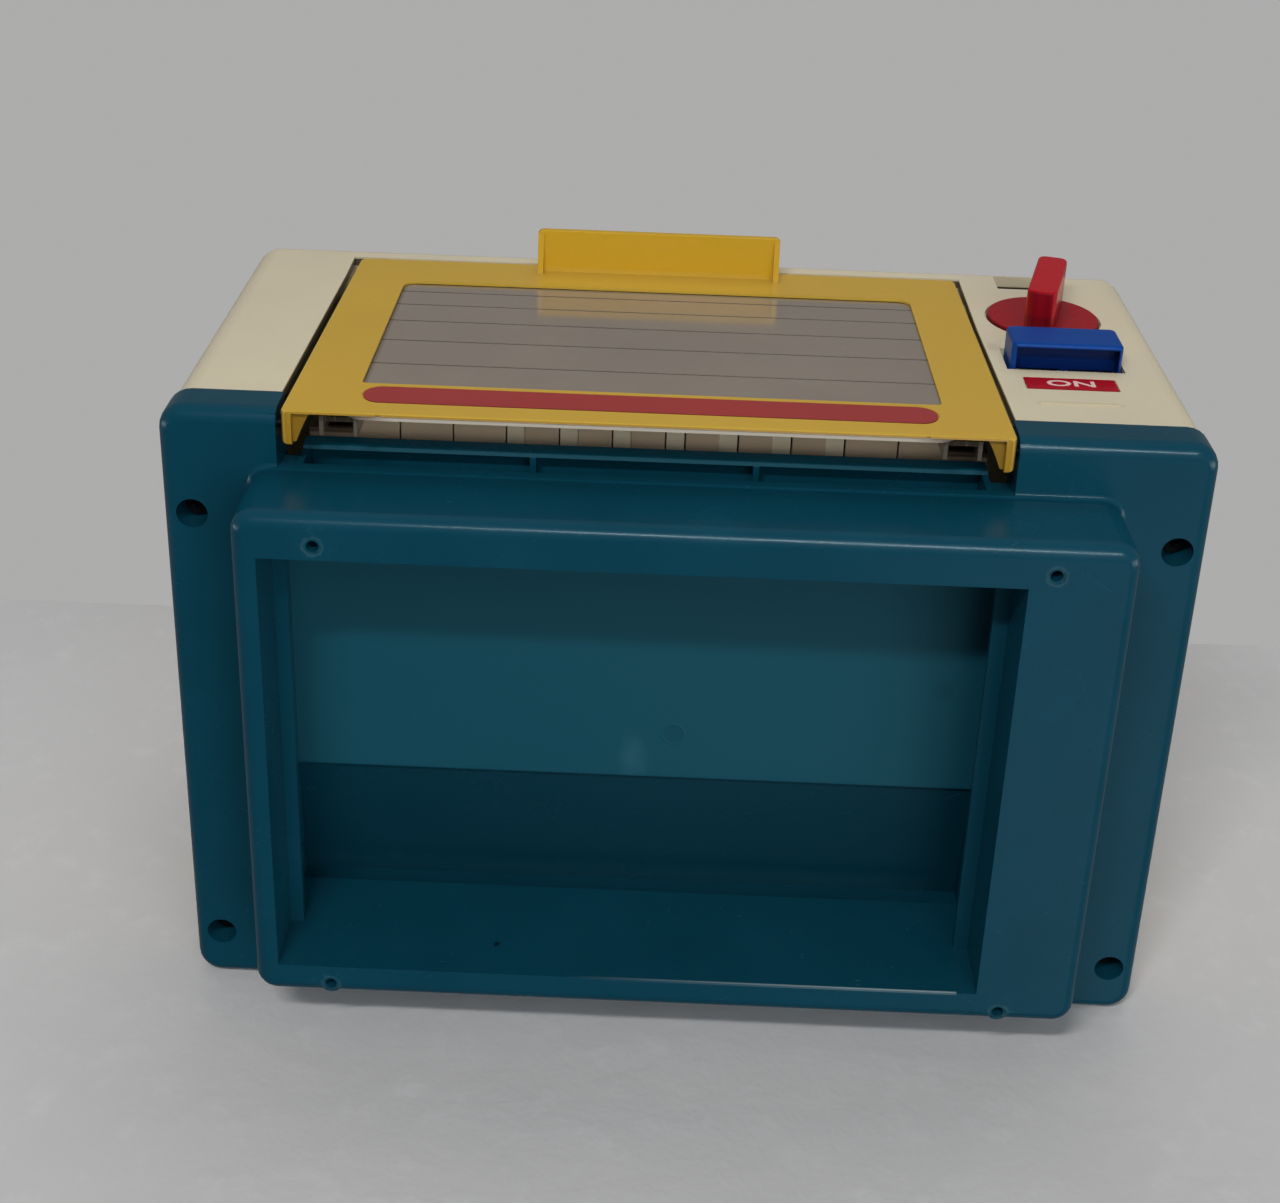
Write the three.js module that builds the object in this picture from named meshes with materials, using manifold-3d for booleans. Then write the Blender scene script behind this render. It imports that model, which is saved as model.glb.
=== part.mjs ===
// Toy microwave oven, upright as it is played with. Millimetres, +Z up, front at -Y, control panel at +X.
// The origin is the bottom centre of the whole object's box.
import * as THREE from "three";
import { mergeVertices } from "three/addons/utils/BufferGeometryUtils.js";
import Module from "manifold-3d";

const wasm = await Module();
wasm.setup();

// ---- driving dimensions ----
const WIDTH = 300; // across the teal flange
const HALF = WIDTH / 2;
const FRONT = -92; // front face of the body
const REAR = 108.5; // rear face of the body
const TOP = 170; // top of the cream shell
const FLANGE_Z = 29; // underside of the flange, above the plinth's foot
const SEAM_Z = 43; // where the teal base ends and the cream shell starts
const GAP = 0.3; // clearance between neighbouring pieces
const WALL = 2.5;
const EDGE = 4.3; // rounding along the base's lower edges
const PLINTH = { x: 124.2, y0: -74.5, y1: 89.3, r: 6.5 };
const RECESS = { x0: -116.9, x1: 94, y0: -61.1, y1: 78.7, z: 42.7 };
const RAIL = { x0: -113, x1: 89.6, z: 20.5, t: 2.6 };
const POCKET = { y: 35, z0: 44.2, z1: 50.5, y1: 81 }; // deeper sloping band at the back of the recess
const WELL = { x: 141.4, y0: -58.8, y1: 91.3, r: 4.6 };
const HOLE = { x: 101.2, y0: -65.3, y1: 85.3, r: 1.75 };
const NOTCH = { x0: -116.1, x1: 93.2, y: -75 };
const LEDGE = { x0: -111, x1: 87.4, y: -76, lip: 1.2, wall: -65.8, z0: 41.6, plate: 46.4, z1: 48, corner: 39.5 };
const RIBS = [-44.3, 20.5];
const SHELL = { x: 149.2, y0: -91.8, y1: 107.9, r: 8, edge: 7 };
const OPENING = { x0: -116.8, x0top: -114.8, x1: 93.9, x1top: 92.4, top: 159 }; // its sides lean in a little towards the top
const DOOR = { x0: -114.4, x1: 92.1, x0top: -111.7, x1top: 90.2, z0: 27.5, z1: 155, y0: -93, y1: -90.8, depth: -82.4, skin: -92.25 };
const WINDOW = { x0: -94.7, x1: 73.4, z0: 49.3, z1: 134, r: 4.5, low: 1.4, lean: 0.7 };
const PANE = { x0: -98, x1: 77, z0: 28, z1: 141, y0: -92.1, y1: -90.8 };
const CLIPS = [
  ["left", -104, -93],
  ["right", 72, 83],
];
const PANE_LINES = [66.5, 85, 101.3, 115.4, 127];
const HANDLE = { x0: -51, x1: 30, z0: 148.5, z1: 150.9, y: -107.6, rib: 145.5 };
const BANNER = { x0: -93, x1: 71.3, z0: 36, z1: 47 };
const HINGE = { y: -86.5, z: 34, r: 1.5 };
const KNOB = { x: 115.3, z: 125, r: 18.1, face: -92.6, blade: -107.3, turn: 15.6 };
const BUTTON = { x0: 98.3, x1: 132.2, z0: 82.2, z1: 97.2, face: -100 };
const LABEL = { x0: 101.1, x1: 128.4, z0: 67.1, z1: 75.3 };
const DISPLAY = { x0: 104.7, x1: 124.3, z0: 151.6, z1: 163.6, y: -82.6 };
const LINER = { x0: -112, x1: 89.5, y0: -75, y1: 94, z0: 56, z1: 155, t: 2 };
const APRON = { x0: -97, x1: 75.6, y: -79.6, pitch: 15.77, first: -84.7, slot: 5.4 };
const BRACKET = { x0: 98, x1: 146, y0: -76, y1: -74, z0: 72, z1: 147 };

// ---- shape helpers ----
function solid(geometry) {
  let g = geometry.clone();
  g.deleteAttribute("normal");
  g.deleteAttribute("uv");
  g = mergeVertices(g, 1e-4);
  return new wasm.Manifold(
    new wasm.Mesh({
      numProp: 3,
      vertProperties: new Float32Array(g.attributes.position.array),
      triVerts: new Uint32Array(g.index.array),
    }),
  );
}
const add = (...s) => s.reduce((a, b) => a.add(b));
const cut = (a, ...s) => s.reduce((p, b) => p.subtract(b), a);

function box(x0, x1, y0, y1, z0, z1) {
  return solid(
    new THREE.BoxGeometry(x1 - x0, y1 - y0, z1 - z0).translate((x0 + x1) / 2, (y0 + y1) / 2, (z0 + z1) / 2),
  );
}
// A cylinder along an axis, from a to b on it; (u, v) is its place on the other two axes in x, y, z order.
function rod(axis, r, u, v, a, b, sides = 20) {
  const g = new THREE.CylinderGeometry(r, r, b - a, sides);
  if (axis === "x") g.rotateZ(Math.PI / 2).translate((a + b) / 2, u, v);
  if (axis === "y") g.translate(u, (a + b) / 2, v);
  if (axis === "z") g.rotateX(Math.PI / 2).translate(u, v, (a + b) / 2);
  return solid(g);
}
function roundedRect(x0, x1, y0, y1, r) {
  const s = new THREE.Shape();
  s.moveTo(x0 + r, y0);
  s.lineTo(x1 - r, y0);
  s.absarc(x1 - r, y0 + r, r, -Math.PI / 2, 0);
  s.lineTo(x1, y1 - r);
  s.absarc(x1 - r, y1 - r, r, 0, Math.PI / 2);
  s.lineTo(x0 + r, y1);
  s.absarc(x0 + r, y1 - r, r, Math.PI / 2, Math.PI);
  s.lineTo(x0, y0 + r);
  s.absarc(x0 + r, y0 + r, r, Math.PI, Math.PI * 1.5);
  return s;
}
// A block with rounded upright corners (r) and, where edge is over 0, rounded top and bottom edges.
function block(x0, x1, y0, y1, z0, z1, r, edge = 0, curve = 3) {
  const s = roundedRect(x0 + edge, x1 - edge, y0 + edge, y1 - edge, Math.max(r - edge, 0.4));
  const g = new THREE.ExtrudeGeometry(s, {
    depth: z1 - z0 - 2 * edge,
    curveSegments: curve,
    bevelEnabled: edge > 0,
    bevelSize: edge,
    bevelThickness: edge,
    bevelSegments: 4,
  });
  return solid(g.translate(0, 0, z0 + edge));
}
// The same block laid against the front: its outline is drawn in x and z, and it runs from y0 to y1.
function panel(x0, x1, z0, z1, y0, y1, r, edge = 0, curve = 3, steps = 3) {
  const s = roundedRect(x0 + edge, x1 - edge, z0 + edge, z1 - edge, Math.max(r - edge, 0.25));
  const g = new THREE.ExtrudeGeometry(s, {
    depth: y1 - y0 - 2 * edge,
    curveSegments: curve,
    bevelEnabled: edge > 0,
    bevelSize: edge,
    bevelThickness: edge,
    bevelSegments: steps,
  });
  return solid(g.rotateX(Math.PI / 2).translate(0, y1 - edge, 0));
}
// The same panel with its sides leaning in towards the top, where it runs from t0 to t1.
function leaningPanel(x0, x1, t0, t1, z0, z1, y0, y1, r, edge, curve, steps) {
  const s = roundedRect(x0 + edge, x1 - edge, z0 + edge, z1 - edge, Math.max(r - edge, 0.25));
  const g = new THREE.ExtrudeGeometry(s, {
    depth: y1 - y0 - 2 * edge,
    curveSegments: curve,
    bevelEnabled: edge > 0,
    bevelSize: edge,
    bevelThickness: edge,
    bevelSegments: steps,
  })
    .rotateX(Math.PI / 2)
    .translate(0, y1 - edge, 0);
  const at = g.attributes.position;
  for (let i = 0; i < at.count; i++) {
    const up = (at.getZ(i) - z0) / (z1 - z0), across = (at.getX(i) - x0) / (x1 - x0);
    at.setX(i, at.getX(i) + up * ((t0 - x0) * (1 - across) + (t1 - x1) * across));
  }
  return solid(g);
}
// A prism of an outline drawn in x and z, from y0 to y1.
function plate(outline, y0, y1, curve = 5) {
  const s = Array.isArray(outline) ? new THREE.Shape(outline.map(([x, z]) => new THREE.Vector2(x, z))) : outline;
  const g = new THREE.ExtrudeGeometry(s, { depth: y1 - y0, bevelEnabled: false, curveSegments: curve });
  return solid(g.rotateX(Math.PI / 2).translate(0, y1, 0));
}
// A rectangle whose lower and upper corners have radii of their own, and whose sides lean in towards the top.
function twoRadii(x0, x1, z0, z1, low, high, lean = 0) {
  const s = new THREE.Shape();
  s.moveTo(x0 + low, z0);
  s.lineTo(x1 - low, z0);
  s.absarc(x1 - low, z0 + low, low, -Math.PI / 2, 0);
  s.lineTo(x1 - lean, z1 - high);
  s.absarc(x1 - lean - high, z1 - high, high, 0, Math.PI / 2);
  s.lineTo(x0 + lean + high, z1);
  s.absarc(x0 + lean + high, z1 - high, high, Math.PI / 2, Math.PI);
  s.lineTo(x0, z0 + low);
  s.absarc(x0 + low, z0 + low, low, Math.PI, Math.PI * 1.5);
  return s;
}
// A solid through a stack of rounded rectangles, each given as [inset, z] from one outline; a negative inset stands out.
function stack(x, y0, y1, r, levels, n = 6) {
  const rings = levels.map(([inset, z]) => {
    const a = x - inset, b0 = y0 + inset, b1 = y1 - inset, q = Math.max(r - inset, 0.4), ring = [];
    for (const [cx, cy, from] of [[a - q, b1 - q, 0], [-a + q, b1 - q, 1], [-a + q, b0 + q, 2], [a - q, b0 + q, 3]])
      for (let i = 0; i <= n; i++) {
        const t = ((from + i / n) * Math.PI) / 2;
        ring.push([cx + q * Math.cos(t), cy + q * Math.sin(t), z]);
      }
    return ring;
  });
  const at = [];
  const last = rings.length - 1, count = rings[0].length, mid = (y0 + y1) / 2;
  for (let k = 0; k < count; k++) {
    const j = (k + 1) % count;
    at.push([0, mid, levels[0][1]], rings[0][j], rings[0][k], [0, mid, levels[last][1]], rings[last][k], rings[last][j]);
    for (let i = 0; i < last; i++) {
      const [p, q, u, v] = [rings[i][k], rings[i][j], rings[i + 1][k], rings[i + 1][j]];
      at.push(p, q, v, p, v, u);
    }
  }
  const g = new THREE.BufferGeometry().setAttribute("position", new THREE.BufferAttribute(new Float32Array(at.flat()), 3));
  return solid(g);
}
// Levels of a quarter round of radius e: the foot of a moulding that starts at z and widens upwards.
const foot = (e, z, n = 6) => Array.from({ length: n + 1 }, (_, i) => {
  const t = ((i / n) * Math.PI) / 2;
  return [e * (1 - Math.sin(t)), z + e * (1 - Math.cos(t))];
});
// A prism of an outline drawn in y and z, from x0 to x1.
function profile(points, x0, x1) {
  const s = new THREE.Shape(points.map(([y, z]) => new THREE.Vector2(y, z)));
  const g = new THREE.ExtrudeGeometry(s, { depth: x1 - x0, bevelEnabled: false });
  g.applyMatrix4(new THREE.Matrix4().set(0, 0, 1, x0, 1, 0, 0, 0, 0, 1, 0, 0, 0, 0, 0, 1));
  return solid(g);
}

const group = new THREE.Group();
const paint = {
  teal: { color: 0x14545f, roughness: 0.42, metalness: 0 },
  cream: { color: 0xd9cba6, roughness: 0.45, metalness: 0 },
  yellow: { color: 0xd9a31f, roughness: 0.38, metalness: 0 },
  smoke: { color: 0x6f655d, roughness: 0.12, metalness: 0 },
  clear: { color: 0xb8b0a4, roughness: 0.2, metalness: 0 },
  brown: { color: 0x8a7c6c, roughness: 0.5, metalness: 0 },
  red: { color: 0xb0142a, roughness: 0.35, metalness: 0 },
  maroon: { color: 0x96232c, roughness: 0.5, metalness: 0 },
  blue: { color: 0x12398f, roughness: 0.35, metalness: 0 },
  white: { color: 0xd8d6cf, roughness: 0.5, metalness: 0 },
  steel: { color: 0x9a9da0, roughness: 0.35, metalness: 1 },
  black: { color: 0x1a1a1c, roughness: 0.5, metalness: 0.6 },
};
function piece(name, shape, material) {
  const m = shape.getMesh();
  const g = new THREE.BufferGeometry()
    .setAttribute("position", new THREE.BufferAttribute(new Float32Array(m.vertProperties), 3))
    .setIndex(new THREE.BufferAttribute(new Uint32Array(m.triVerts), 1));
  g.computeVertexNormals();
  const mesh = new THREE.Mesh(g, new THREE.MeshStandardMaterial(paint[material]));
  mesh.name = name;
  group.add(mesh);
}

// ---- base tray ----
{
  const skirt = stack(HALF, FRONT, REAR, 7.5, [...foot(EDGE, FLANGE_Z), [0, SEAM_Z]]);
  // the plinth flares softly into the flange above it
  const flare = [0, 0.25, 0.5, 0.75, 1].map((t) => [-1.8 * (1 - Math.cos((t * Math.PI) / 2)), FLANGE_Z - 1.8 + 1.8 * Math.sin((t * Math.PI) / 2)]);
  const plinth = stack(PLINTH.x, PLINTH.y0, PLINTH.y1, PLINTH.r, [...foot(EDGE, 0), ...flare, [-1.8, FLANGE_Z + 2]]);
  let tray = add(skirt, plinth);
  tray = cut(
    tray,
    block(-HALF + WALL, HALF - WALL, FRONT + WALL, REAR - WALL, FLANGE_Z + WALL, SEAM_Z + 5, 5),
    block(-PLINTH.x + WALL, PLINTH.x - WALL, PLINTH.y0 + WALL, PLINTH.y1 - WALL, WALL, FLANGE_Z + 6, 4),
  );
  // the recess and its tub, whose back part slopes deeper
  tray = add(
    tray,
    box(RECESS.x0 - WALL, RECESS.x1 + WALL, RECESS.y0 - WALL, POCKET.y1 + WALL, 1, RECESS.z + WALL),
    profile(
      [
        [POCKET.y - WALL, RECESS.z],
        [POCKET.y1 + WALL, RECESS.z],
        [POCKET.y1 + WALL, POCKET.z1 + WALL],
        [POCKET.y - WALL, POCKET.z0 + WALL],
      ],
      RECESS.x0 - WALL,
      RECESS.x1 + WALL,
    ),
  );
  tray = cut(
    tray,
    box(RECESS.x0, RECESS.x1, RECESS.y0, RECESS.y1, -1, RECESS.z),
    profile(
      [
        [POCKET.y, RECESS.z - 1],
        [POCKET.y1, RECESS.z - 1],
        [POCKET.y1, POCKET.z1],
        [POCKET.y, POCKET.z0],
      ],
      RECESS.x0,
      RECESS.x1,
    ),
  );
  tray = add(
    tray,
    box(RECESS.x0 - 1, RAIL.x0, RECESS.y0 - 1, RECESS.y1 + 0.6, RAIL.z, RAIL.z + RAIL.t),
    box(RAIL.x1, RECESS.x1 + 1, RECESS.y0 - 1, RECESS.y1 + 0.6, RAIL.z, RAIL.z + RAIL.t),
  );
  // the notch below the door, with its side returns and the ribbed ledge behind it
  tray = cut(tray, box(NOTCH.x0, NOTCH.x1, FRONT - 5, NOTCH.y, FLANGE_Z - 5, SEAM_Z + 5));
  tray = add(
    tray,
    box(NOTCH.x0 - WALL, NOTCH.x0, FRONT + 1, -71, FLANGE_Z + 1, SEAM_Z),
    box(NOTCH.x1, NOTCH.x1 + WALL, FRONT + 1, -71, FLANGE_Z + 1, SEAM_Z),
    box(NOTCH.x0 - WALL, LEDGE.x0 + 1.8, -73.6, -71.4, FLANGE_Z, SEAM_Z),
    box(LEDGE.x1 - 1.8, NOTCH.x1 + WALL, -73.6, -71.4, FLANGE_Z, SEAM_Z),
    // the trough's floor, back wall and two ends, and the ledge plate above it with its lip and ribs
    box(LEDGE.x0, LEDGE.x1, NOTCH.y + 0.4, LEDGE.wall + 2.2, FLANGE_Z, FLANGE_Z + WALL),
    box(LEDGE.x0, LEDGE.x1, LEDGE.wall, LEDGE.wall + 2.2, FLANGE_Z, LEDGE.plate + 1),
    box(LEDGE.x0, LEDGE.x0 + 1.8, NOTCH.y, LEDGE.wall + 2.2, FLANGE_Z, LEDGE.plate + 1),
    box(LEDGE.x1 - 1.8, LEDGE.x1, NOTCH.y, LEDGE.wall + 2.2, FLANGE_Z, LEDGE.plate + 1),
    box(LEDGE.x0, LEDGE.x1, LEDGE.y + 0.3, LEDGE.wall + 2.2, LEDGE.plate, LEDGE.z1),
    box(LEDGE.x0, LEDGE.x1, LEDGE.y, LEDGE.y + LEDGE.lip, LEDGE.z0, LEDGE.z1),
    ...RIBS.map((x) => box(x - 0.9, x + 0.9, LEDGE.y + 0.3, LEDGE.wall + 0.5, LEDGE.z0 + 0.2, LEDGE.plate + 1)),
  );
  tray = cut(
    tray,
    box(NOTCH.x0, LEDGE.x0, FRONT, -70, LEDGE.corner, SEAM_Z + 2),
    box(LEDGE.x1, NOTCH.x1, FRONT, -70, LEDGE.corner, SEAM_Z + 2),
    rod("x", HINGE.r + 0.2, HINGE.y, HINGE.z, NOTCH.x0 - 5, NOTCH.x0 + 1),
    rod("x", HINGE.r + 0.2, HINGE.y, HINGE.z, NOTCH.x1 - 1, NOTCH.x1 + 5),
  );
  // screw wells, with a floor that the screw passes through
  for (const x of [-WELL.x, WELL.x])
    for (const y of [WELL.y0, WELL.y1]) {
      tray = add(tray, rod("z", WELL.r + 1.6, x, y, FLANGE_Z + 1, 41));
      tray = cut(tray, rod("z", WELL.r, x, y, FLANGE_Z - 2, 38, 24), rod("z", 2.1, x, y, 37, 43, 12));
    }
  // cover-screw bosses
  for (const x of [-HOLE.x, HOLE.x])
    for (const y of [HOLE.y0, HOLE.y1]) {
      tray = add(tray, rod("z", 3.6, x, y, 1, 14, 12));
      tray = cut(tray, rod("z", HOLE.r, x, y, -1, 12, 14), rod("z", 2.6, x, y, -1, 0.35, 16));
    }
  // posts for the liner's screws
  for (const x of [-80, 58]) {
    tray = add(tray, rod("z", 4, x, -20, RECESS.z + 1, 55.7, 16));
    tray = cut(tray, rod("z", 1.6, x, -20, 48, 57, 10));
  }
  piece("base_tray", tray, "teal");
}

// ---- housing shell ----
{
  let shell = stack(SHELL.x, SHELL.y0, SHELL.y1, SHELL.r, [[0, SEAM_Z + GAP], ...foot(SHELL.edge, -TOP).reverse().map(([i, z]) => [i, -z])]);
  let inside = block(
    -SHELL.x + WALL,
    SHELL.x - WALL,
    SHELL.y0 + WALL,
    SHELL.y1 - WALL,
    SEAM_Z - 20,
    TOP - WALL,
    SHELL.r - WALL,
    SHELL.edge - WALL,
    2,
  );
  shell = cut(shell, inside);
  // door opening with its inward returns
  shell = add(
    shell,
    box(OPENING.x0top - 2, OPENING.x0top + 0.2, SHELL.y0 + 1, -78, 143, OPENING.top + 2),
    box(OPENING.x1top - 0.2, OPENING.x1top + 2, SHELL.y0 + 1, -78, 143, OPENING.top + 2),
    box(OPENING.x0top - 2, OPENING.x1top + 2, SHELL.y0 + 1, -78, OPENING.top, OPENING.top + 2),
    // display pocket, button guide, knob collar and bracket posts
    box(DISPLAY.x0 - 1.5, DISPLAY.x1 + 1.5, SHELL.y0 + 1, DISPLAY.y + 1.5, DISPLAY.z0 - 1.5, DISPLAY.z1 + 3.2),
    box(BUTTON.x0 - 2.2, BUTTON.x1 + 2.2, SHELL.y0 + 1, -83.5, BUTTON.z0 - 2.2, BUTTON.z1 + 2.2),
    rod("y", 6.5, KNOB.x, KNOB.z, SHELL.y0 + 1, -83.5),
    rod("y", 3.6, 140.5, 141, SHELL.y0 + 1, BRACKET.y0 - GAP, 12),
    rod("y", 3.6, 104, 76, SHELL.y0 + 1, BRACKET.y0 - GAP, 12),
    box(LABEL.x0 + 2, LABEL.x1 - 2, SHELL.y0 - 0.3, SHELL.y0 + 1, 56.2, 57.2),
  );
  shell = cut(
    shell,
    plate(
      [
        [OPENING.x0, SEAM_Z - 5],
        [OPENING.x1, SEAM_Z - 5],
        [OPENING.x1, SEAM_Z],
        [OPENING.x1top, 115],
        [OPENING.x1top, OPENING.top],
        [OPENING.x0top, OPENING.top],
        [OPENING.x0top, 140],
        [OPENING.x0, SEAM_Z],
      ],
      FRONT - 5,
      -77,
    ),
    box(DISPLAY.x0, DISPLAY.x1, FRONT - 5, DISPLAY.y, DISPLAY.z0, DISPLAY.z1),
    box(DISPLAY.x0, DISPLAY.x1, -87.7, -85.9, DISPLAY.z1 - 0.5, DISPLAY.z1 + 2.4), // groove that holds the card's top edge
    box(BUTTON.x0 - 1.1, BUTTON.x1 + 1, FRONT - 5, -82, BUTTON.z0 - 0.9, BUTTON.z1 + 0.8),
    rod("y", 4.3, KNOB.x, KNOB.z, FRONT - 5, -80),
    rod("y", KNOB.r + 0.5, KNOB.x, KNOB.z, FRONT - 5, -90.5, 48), // shallow seat for the knob's disc
    rod("y", 1.5, 140.5, 141, -88, -70, 10),
    rod("y", 1.5, 104, 76, -88, -70, 10),
    box(LABEL.x0 - 0.4, LABEL.x1 + 0.4, FRONT - 5, SHELL.y0 + 0.6, LABEL.z0 - 0.4, LABEL.z1 + 0.4),
  );
  // posts that take the base screws, each tied to the side wall by a rib
  for (const s of [-1, 1])
    for (const y of [WELL.y0, WELL.y1]) {
      const rib = s > 0 ? box(WELL.x, SHELL.x - 1, y - 1.2, y + 1.2, SEAM_Z + GAP, 60) : box(-SHELL.x + 1, -WELL.x, y - 1.2, y + 1.2, SEAM_Z + GAP, 60);
      shell = add(shell, rod("z", 4.5, s * WELL.x, y, 41.3, 60, 12), rib);
      shell = cut(shell, rod("z", 1.8, s * WELL.x, y, 40, 57, 10));
    }
  piece("housing_shell", shell, "cream");
}

// ---- oven liner ----
{
  let liner = box(LINER.x0, LINER.x1, LINER.y0, LINER.y1, LINER.z0, LINER.z1);
  liner = cut(
    liner,
    box(LINER.x0 + LINER.t, LINER.x1 - LINER.t, LINER.y0 - 2, LINER.y1 - LINER.t, LINER.z0 + LINER.t, LINER.z1 - LINER.t),
  );
  // apron that carries the cavity's floor forward under the door, grooved below, with seven wide shallow bands in its middle
  liner = add(liner, box(APRON.x0, APRON.x1, APRON.y, LINER.y0 + 1, LINER.z0, LINER.z0 + LINER.t));
  for (let i = 0; i < 10; i++) {
    const x = APRON.first + i * APRON.pitch;
    const wide = i >= 2 && i <= 8;
    const groove = (from) => box(from, from + 0.45, APRON.y - 1, LINER.y0 + 8, LINER.z0 - 1, LINER.z0 + 1.3);
    if (wide) liner = cut(liner, box(x, x + APRON.slot, APRON.y - 1, LINER.y0 + 8, LINER.z0 - 1, LINER.z0 + 0.6));
    if (i <= 5) liner = cut(liner, groove(x - 0.4));
    if (i >= 5) liner = cut(liner, groove(x + APRON.slot - 0.05));
  }
  for (const x of [-80, 58]) liner = cut(liner, rod("z", 1.9, x, -20, 50, 60, 12));
  piece("oven_liner", liner, "brown");
}
for (const [name, x] of [["left", -80], ["right", 58]])
  piece(
    "liner_screw_" + name,
    cut(
      add(rod("z", 3.2, x, -20, 58.3, 60.2, 14), rod("z", 1.2, x, -20, 50, 58.5, 10)),
      box(x - 1.7, x + 1.7, -20.3, -19.7, 59.2, 61),
      box(x - 0.3, x + 0.3, -21.7, -18.3, 59.2, 61),
    ),
    "steel",
  );

// ---- door ----
{
  const d = DOOR;
  let door = leaningPanel(d.x0, d.x1, d.x0top, d.x1top, d.z0, d.z1, d.y0, d.y0 + 10.6, 2.4, 0.8, 3, 2);
  // hollow behind the face plate, open at the back and along the bottom
  const hollow = [
    [d.x0 + 3, d.z0 - 5],
    [d.x1 - 3, d.z0 - 5],
    [d.x1top - 3, d.z1 - 2.4],
    [d.x0top + 3, d.z1 - 2.4],
  ];
  door = cut(
    door,
    plate(hollow, d.y1, -70),
    box(d.x0 - 5, d.x1 + 5, d.depth, -70, d.z0 - 5, d.z1 + 5),
    box(d.x0 + 3.2, d.x1 - 3.2, d.skin, d.y1 + 1, d.z0 - 5, d.z0 + 8),
  );
  // the face is thin in front of the pane, which lies in a pocket, and there are two small nicks in its lower edge
  door = cut(
    door,
    panel(PANE.x0 - 0.3, PANE.x1 + 0.3, d.z0 - 12, PANE.z1 + 0.3, d.skin, d.y1 + 2, 8.3),
    plate(twoRadii(WINDOW.x0, WINDOW.x1, WINDOW.z0, WINDOW.z1, WINDOW.low, WINDOW.r, WINDOW.lean), d.y0 - 5, d.y1 + 5),
    box(-87.4, -86.2, d.y0 - 1, d.skin + 1, d.z0 - 1, d.z0 + 0.7),
    box(66.4, 67.6, d.y0 - 1, d.skin + 1, d.z0 - 1, d.z0 + 0.7),
  );
  // a curved gusset inside each lower corner, round the hinge bore
  for (const s of [-1, 1]) {
    const wall = s < 0 ? d.x0 + 2.5 : d.x1 - 2.5;
    const g = new THREE.Shape();
    g.moveTo(wall, d.skin - 0.2);
    g.lineTo(wall - s * 6, d.skin - 0.2);
    g.quadraticCurveTo(wall - s * 3.6, d.y1 + 2.2, wall - s * 1.6, d.depth - 0.6);
    g.lineTo(wall, d.depth - 0.6);
    door = add(door, solid(new THREE.ExtrudeGeometry(g, { depth: 15, bevelEnabled: false, curveSegments: 6 }).translate(0, 0, d.z0 + 1.6)));
  }
  // handle: a lip across the top rail with a web under each end
  const web = [
    [d.y0 + 0.5, HANDLE.z1 - 0.5],
    [d.y0 + 0.5, HANDLE.rib],
    [d.y0 - 1, HANDLE.rib],
    [HANDLE.y + 1, HANDLE.z0 - 0.4],
    [HANDLE.y + 1, HANDLE.z1 - 0.5],
  ];
  door = add(
    door,
    panelLip(HANDLE.x0, HANDLE.x1, HANDLE.y, d.y0 + 0.6, HANDLE.z0, HANDLE.z1),
    profile(web, HANDLE.x0, HANDLE.x0 + 1.9),
    profile(web, HANDLE.x1 - 1.9, HANDLE.x1),
  );
  // banner seat and hinge bores
  door = cut(
    door,
    panel(BANNER.x0 - 0.4, BANNER.x1 + 0.4, BANNER.z0 - 0.4, BANNER.z1 + 0.4, d.y0 - 3, d.y0 + 0.3, (BANNER.z1 - BANNER.z0) / 2 + 0.3, 0, 8),
    rod("x", HINGE.r + 0.35, HINGE.y, HINGE.z, d.x0 - 2, d.x0 + 5),
    rod("x", HINGE.r + 0.35, HINGE.y, HINGE.z, d.x1 - 5, d.x1 + 2),
  );
  piece("door_frame", door, "yellow");
}
// A flat lip with its outer corners rounded, from y0 to y1 at heights z0 to z1.
function panelLip(x0, x1, y0, y1, z0, z1) {
  return solid(
    new THREE.ExtrudeGeometry(roundedRect(x0 + 0.5, x1 - 0.5, y0 + 0.5, y1 + 3, 1.2), {
      depth: z1 - z0 - 1,
      curveSegments: 2,
      bevelEnabled: true,
      bevelSize: 0.5,
      bevelThickness: 0.5,
      bevelSegments: 2,
    }).translate(0, 0, z0 + 0.5),
  ).subtract(box(x0 - 5, x1 + 5, y1, y1 + 10, z0 - 5, z1 + 5));
}
{
  let pane = panel(PANE.x0, PANE.x1, PANE.z0, PANE.z1, PANE.y0, PANE.y1, 8, 0, 6);
  for (const z of PANE_LINES) pane = cut(pane, box(WINDOW.x0 - 2, WINDOW.x1 + 2, PANE.y0 - 1, PANE.y0 + 0.35, z - 0.3, z + 0.3));
  piece("window_pane", pane, "smoke");
}
// clear channels that hold the pane's edges against the frame
for (const [name, x0, x1] of CLIPS) {
  let clip = box(x0, x1, PANE.y1 + GAP, -84.5, 30.5, 52);
  clip = cut(clip, box(x0 + 1.3, x1 - 1.3, PANE.y1 + GAP + 1.6, -80, 29, 50.4));
  piece("pane_clip_" + name, clip, "clear");
}
piece(
  "door_banner",
  panel(BANNER.x0, BANNER.x1, BANNER.z0, BANNER.z1, DOOR.y0 - 0.1, DOOR.y0 + 0.2, (BANNER.z1 - BANNER.z0) / 2 - 0.05, 0, 8),
  "maroon",
);
piece(
  "hinge_pin_left",
  add(rod("x", HINGE.r, HINGE.y, HINGE.z, NOTCH.x0 - 4, DOOR.x0 + 3.5, 16), rod("x", 2.2, HINGE.y, HINGE.z, NOTCH.x0 - 4.2, NOTCH.x0 - 2.8, 14)),
  "black",
);
piece(
  "hinge_pin_right",
  add(rod("x", HINGE.r, HINGE.y, HINGE.z, DOOR.x1 - 3.5, NOTCH.x1 + 4, 16), rod("x", 2.2, HINGE.y, HINGE.z, NOTCH.x1 + 2.8, NOTCH.x1 + 4.2, 14)),
  "black",
);
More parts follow.
